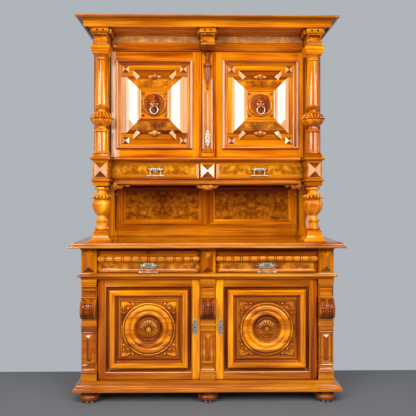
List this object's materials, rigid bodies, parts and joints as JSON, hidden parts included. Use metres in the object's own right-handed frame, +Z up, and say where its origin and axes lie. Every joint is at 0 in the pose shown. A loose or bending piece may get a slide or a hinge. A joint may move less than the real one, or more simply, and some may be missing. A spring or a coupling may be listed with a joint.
{
  "type": "buffet cabinet",
  "caption": "Two-stage carved walnut buffet: base with panelled doors and drawers, open niche on vase balusters, columned upper cupboard with drawers and a deep cornice.",
  "frame": {"origin": "on the floor, under the middle of the bounding box", "axes": "+Z up, the front with its doors and drawers faces -Y, +X to the right of someone facing the front"},
  "size_m": [1.72, 0.6, 2.419],
  "materials": {
    "walnut": "honey-amber walnut, high-gloss French polish",
    "burl_walnut": "burl walnut veneer, high-gloss French polish",
    "dark_walnut": "stained back boards, matt",
    "pine": "bare pine, matt",
    "brass": "pale cast brass, lightly polished"
  },
  "bodies": {
    "carcass": {"bun_feet": "walnut", "plinth": "walnut", "base_floor": "walnut", "base_boards": "walnut", "back_boards": "dark_walnut", "base_pilasters": "walnut", "waist_rail": "walnut", "base_dies": "walnut", "drawer_runners": "pine", "shelves": "walnut", "worktop": "walnut", "niche_back": "walnut", "niche_wings": "walnut", "vase_balusters": "walnut", "corner_dies": "walnut", "columns": "walnut", "upper_floor": "walnut", "upper_rail": "walnut", "apron": "walnut", "upper_sides": "walnut", "frieze": "walnut", "frieze_corbels": "walnut", "cornice": "walnut", "base_hinge_plates": "brass", "upper_hinge_plates": "brass"},
    "base_left_door": {"base_left_door_frame": "walnut", "base_left_door_panel": "burl_walnut", "base_left_rondel": "walnut", "base_left_door_fittings": "brass"},
    "base_right_door": {"base_right_door_frame": "walnut", "base_right_door_panel": "burl_walnut", "base_right_rondel": "walnut", "base_right_door_fittings": "brass"},
    "upper_left_door": {"upper_left_door_frame": "walnut", "upper_left_door_panel": "burl_walnut", "upper_left_mask": "walnut", "astragal": "walnut", "upper_left_door_fittings": "brass"},
    "upper_left_ring": {"upper_left_ring": "brass"},
    "upper_right_door": {"upper_right_door_frame": "walnut", "upper_right_door_panel": "burl_walnut", "upper_right_mask": "walnut", "upper_right_door_fittings": "brass"},
    "upper_right_ring": {"upper_right_ring": "brass"},
    "base_left_drawer": {"base_left_drawer_front": "walnut", "base_left_drawer_box": "pine", "base_left_pull": "brass"},
    "base_left_bail": {"base_left_bail": "brass"},
    "base_right_drawer": {"base_right_drawer_front": "walnut", "base_right_drawer_box": "pine", "base_right_pull": "brass"},
    "base_right_bail": {"base_right_bail": "brass"},
    "upper_left_drawer": {"upper_left_drawer_front": "burl_walnut", "upper_left_drawer_box": "pine", "upper_left_pull": "brass"},
    "upper_left_bail": {"upper_left_bail": "brass"},
    "upper_right_drawer": {"upper_right_drawer_front": "burl_walnut", "upper_right_drawer_box": "pine", "upper_right_pull": "brass"},
    "upper_right_bail": {"upper_right_bail": "brass"}
  },
  "joints": [
    {"name": "base_left_door_hinge", "type": "hinge", "parent": "carcass", "child": "base_left_door", "pos_m": [-0.684, -0.212, 0.136], "axis": [0, 0, -1], "range_deg": [0, 80]},
    {"name": "upper_left_door_hinge", "type": "hinge", "parent": "carcass", "child": "upper_left_door", "pos_m": [-0.629, -0.057, 1.549], "axis": [0, 0, -1], "range_deg": [0, 55]},
    {"name": "upper_left_ring_hinge", "type": "hinge", "parent": "upper_left_door", "child": "upper_left_ring", "pos_m": [-0.35, -0.098, 1.8835], "axis": [-1, 0, 0], "range_deg": [0, 80]},
    {"name": "base_left_drawer_slide", "type": "slide", "parent": "carcass", "child": "base_left_drawer", "axis": [0, -1, 0], "range_m": [0, 0.36]},
    {"name": "upper_left_drawer_slide", "type": "slide", "parent": "carcass", "child": "upper_left_drawer", "axis": [0, -1, 0], "range_m": [0, 0.24]},
    {"name": "base_left_bail_hinge", "type": "hinge", "parent": "base_left_drawer", "child": "base_left_bail", "pos_m": [-0.373, -0.24, 0.8575], "axis": [-1, 0, 0], "range_deg": [0, 85]},
    {"name": "upper_left_bail_hinge", "type": "hinge", "parent": "upper_left_drawer", "child": "upper_left_bail", "pos_m": [-0.342, -0.087, 1.4685], "axis": [-1, 0, 0], "range_deg": [0, 85]},
    {"name": "base_right_door_hinge", "type": "hinge", "parent": "carcass", "child": "base_right_door", "pos_m": [0.684, -0.212, 0.136], "axis": [0, 0, 1], "range_deg": [0, 80]},
    {"name": "upper_right_door_hinge", "type": "hinge", "parent": "carcass", "child": "upper_right_door", "pos_m": [0.629, -0.057, 1.549], "axis": [0, 0, 1], "range_deg": [0, 55]},
    {"name": "upper_right_ring_hinge", "type": "hinge", "parent": "upper_right_door", "child": "upper_right_ring", "pos_m": [0.35, -0.098, 1.8835], "axis": [-1, 0, 0], "range_deg": [0, 80]},
    {"name": "base_right_drawer_slide", "type": "slide", "parent": "carcass", "child": "base_right_drawer", "axis": [0, -1, 0], "range_m": [0, 0.36]},
    {"name": "upper_right_drawer_slide", "type": "slide", "parent": "carcass", "child": "upper_right_drawer", "axis": [0, -1, 0], "range_m": [0, 0.24]},
    {"name": "base_right_bail_hinge", "type": "hinge", "parent": "base_right_drawer", "child": "base_right_bail", "pos_m": [0.373, -0.24, 0.8575], "axis": [-1, 0, 0], "range_deg": [0, 85]},
    {"name": "upper_right_bail_hinge", "type": "hinge", "parent": "upper_right_drawer", "child": "upper_right_bail", "pos_m": [0.342, -0.087, 1.4685], "axis": [-1, 0, 0], "range_deg": [0, 85]}
  ]
}
